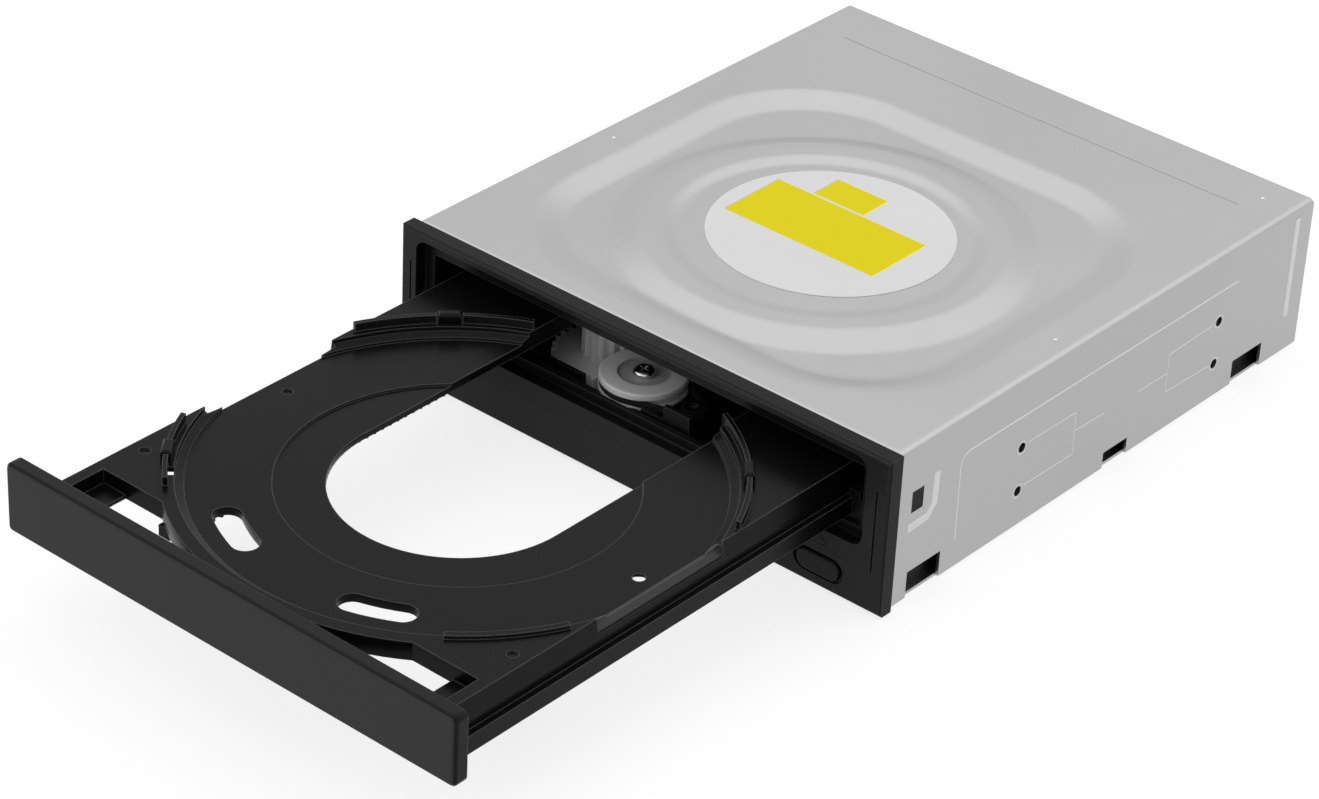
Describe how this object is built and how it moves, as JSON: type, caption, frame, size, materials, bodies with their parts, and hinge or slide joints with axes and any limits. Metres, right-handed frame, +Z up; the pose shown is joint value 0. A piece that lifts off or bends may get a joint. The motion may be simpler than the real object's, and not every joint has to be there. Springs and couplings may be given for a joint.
{
  "type": "tray-loading optical disc drive",
  "caption": "Half-height tray-loading optical disc drive for a 5.25 inch bay, tray open: black bezel and tray, embossed steel cover, gear-driven tray, lifting traverse with pickup and clamp.",
  "frame": {"origin": "underside of the body, on the centre line, in line with the back of the bezel", "axes": "+X to the right seen from the front, +Y from the front to the rear, +Z up"},
  "size_m": [0.1482, 0.2987, 0.0417],
  "materials": {
    "body_steel": "satin, zinc coated",
    "screw_steel": "bright",
    "mechanism_steel": "satin",
    "bezel_black": "fine grain",
    "tray_black": "satin",
    "frame_black": "satin",
    "white_gear": "satin, slightly translucent",
    "cream_plastic": "satin",
    "rubber_black": "matte",
    "damper_rubber": "matte",
    "label_white": "satin",
    "lamp_clear": "diffuse",
    "board_green": "satin",
    "chip_black": "matte",
    "can_aluminium": "satin",
    "cable_white": "satin",
    "lens_glass": "coated",
    "brass_screw": "bright"
  },
  "bodies": {
    "body": {"activity_lamp": "cream_plastic", "board_capacitors": "can_aluminium", "board_chips": "chip_black", "board_screws": "screw_steel", "bottom_cover": "body_steel", "bridge_screws": "screw_steel", "cable_sockets": "cream_plastic", "clamp_bridge": "mechanism_steel", "cover_label": "label_white", "cover_screws": "screw_steel", "data_connector": "chip_black", "drive_belt": "rubber_black", "eject_switch": "chip_black", "flat_cable": "cable_white", "front_bezel": "bezel_black", "front_board": "board_green", "lamp_window": "lamp_clear", "loading_motor": "can_aluminium", "main_board": "board_green", "main_frame": "frame_black", "power_connector": "chip_black", "pulley_screw": "screw_steel", "top_cover": "body_steel"},
    "tray": {"tray": "tray_black", "tray_door": "bezel_black"},
    "disc_tab_rear_left": {"disc_tab_rear_left": "tray_black"},
    "disc_tab_rear_right": {"disc_tab_rear_right": "tray_black"},
    "disc_tab_front_left": {"disc_tab_front_left": "tray_black"},
    "feed_gear": {"feed_gear": "white_gear"},
    "pulley_gear": {"pulley_gear": "white_gear"},
    "motor_pulley": {"motor_pulley": "frame_black"},
    "traverse": {"lifter_frame": "frame_black", "dampers": "damper_rubber", "damper_screws": "screw_steel", "traverse_plate": "mechanism_steel", "guide_rods": "screw_steel", "spindle_motor": "mechanism_steel", "sled_motor": "mechanism_steel", "sled_motor_bracket": "mechanism_steel"},
    "cam_slider": {"cam_slider": "cream_plastic"},
    "turntable": {"turntable": "frame_black", "turntable_mat": "rubber_black"},
    "disc_clamp": {"disc_clamp": "tray_black", "clamp_magnet": "mechanism_steel"},
    "sled": {"pickup_sled": "can_aluminium", "actuator_cover": "frame_black"},
    "lens": {"lens_holder": "frame_black", "objective_lens": "lens_glass"},
    "lead_screw": {"lead_screw": "brass_screw"},
    "eject_button": {"eject_button": "bezel_black"},
    "switch_plunger": {"switch_plunger": "cream_plastic"}
  },
  "joints": [
    {"name": "tray_slide", "type": "slide", "parent": "body", "child": "tray", "axis": [0, 1, 0], "range_m": [0, 0.1295]},
    {"name": "feed_gear_spin", "type": "hinge", "parent": "body", "child": "feed_gear", "pos_m": [-0.02681, 0.01848, 0.018], "axis": [0, 0, 1], "range_deg": [-1159.44, 0]},
    {"name": "pulley_gear_spin", "type": "hinge", "parent": "body", "child": "pulley_gear", "pos_m": [-0.01, 0.011, 0.018], "axis": [0, 0, 1], "range_deg": [0, 3285.11]},
    {"name": "motor_spin", "type": "hinge", "parent": "body", "child": "motor_pulley", "pos_m": [0.0073, 0.0088, 0.018], "axis": [0, 0, 1], "range_deg": [0, 12818.2]},
    {"name": "traverse_lift", "type": "hinge", "parent": "body", "child": "traverse", "pos_m": [-0.00075, 0.152, 0.016], "axis": [-1, 0, 0], "range_deg": [0, 4.39]},
    {"name": "cam_slide", "type": "slide", "parent": "body", "child": "cam_slider", "axis": [1, 0, 0], "range_m": [0, 0.01401]},
    {"name": "disc_spin", "type": "hinge", "parent": "traverse", "child": "turntable", "pos_m": [-0.00075, 0.06664, 0.01748], "axis": [0, -0.0765, 0.9971], "continuous": true},
    {"name": "clamp_spin", "type": "hinge", "parent": "body", "child": "disc_clamp", "pos_m": [-0.00075, 0.067, 0.036], "axis": [0, 0, 1], "continuous": true},
    {"name": "pickup_slide", "type": "slide", "parent": "traverse", "child": "sled", "axis": [0, 0.9971, 0.0765], "range_m": [0, 0.035]},
    {"name": "lead_screw_spin", "type": "hinge", "parent": "traverse", "child": "lead_screw", "pos_m": [0.03175, 0.10992, 0.01548], "axis": [0, 0.9971, 0.0765], "range_deg": [0, 4200.5]},
    {"name": "lens_focus", "type": "slide", "parent": "sled", "child": "lens", "axis": [0, -0.0765, 0.9971], "range_m": [-0.0004, 0.0004], "stiffness_N_per_m": 50},
    {"name": "eject_press", "type": "slide", "parent": "body", "child": "eject_button", "axis": [0, 1, 0], "range_m": [0, 0.0008], "stiffness_N_per_m": 800, "springref_m": -0.0003},
    {"name": "switch_press", "type": "slide", "parent": "body", "child": "switch_plunger", "axis": [0, 1, 0], "range_m": [0, 0.00081]},
    {"name": "rear_left_tab_slide", "type": "slide", "parent": "tray", "child": "disc_tab_rear_left", "axis": [0.7071, -0.7071, 0], "range_m": [0, 0.0024]},
    {"name": "rear_right_tab_slide", "type": "slide", "parent": "tray", "child": "disc_tab_rear_right", "axis": [-0.7314, -0.682, 0], "range_m": [0, 0.0024]},
    {"name": "front_left_tab_slide", "type": "slide", "parent": "tray", "child": "disc_tab_front_left", "axis": [0.7826, 0.6225, 0], "range_m": [0, 0.0024]}
  ],
  "couplings": [
    {"joint": "feed_gear_spin", "follows": "tray_slide", "rad_per_m": -156.25},
    {"joint": "pulley_gear_spin", "follows": "tray_slide", "rad_per_m": 442.71},
    {"joint": "motor_spin", "follows": "tray_slide", "rad_per_m": 1727.4},
    {"joint": "cam_slide", "follows": "traverse_lift", "m_per_rad": 0.1829},
    {"joint": "lead_screw_spin", "follows": "pickup_slide", "rad_per_m": 2094.4},
    {"joint": "switch_press", "follows": "eject_press", "ratio": 1}
  ]
}
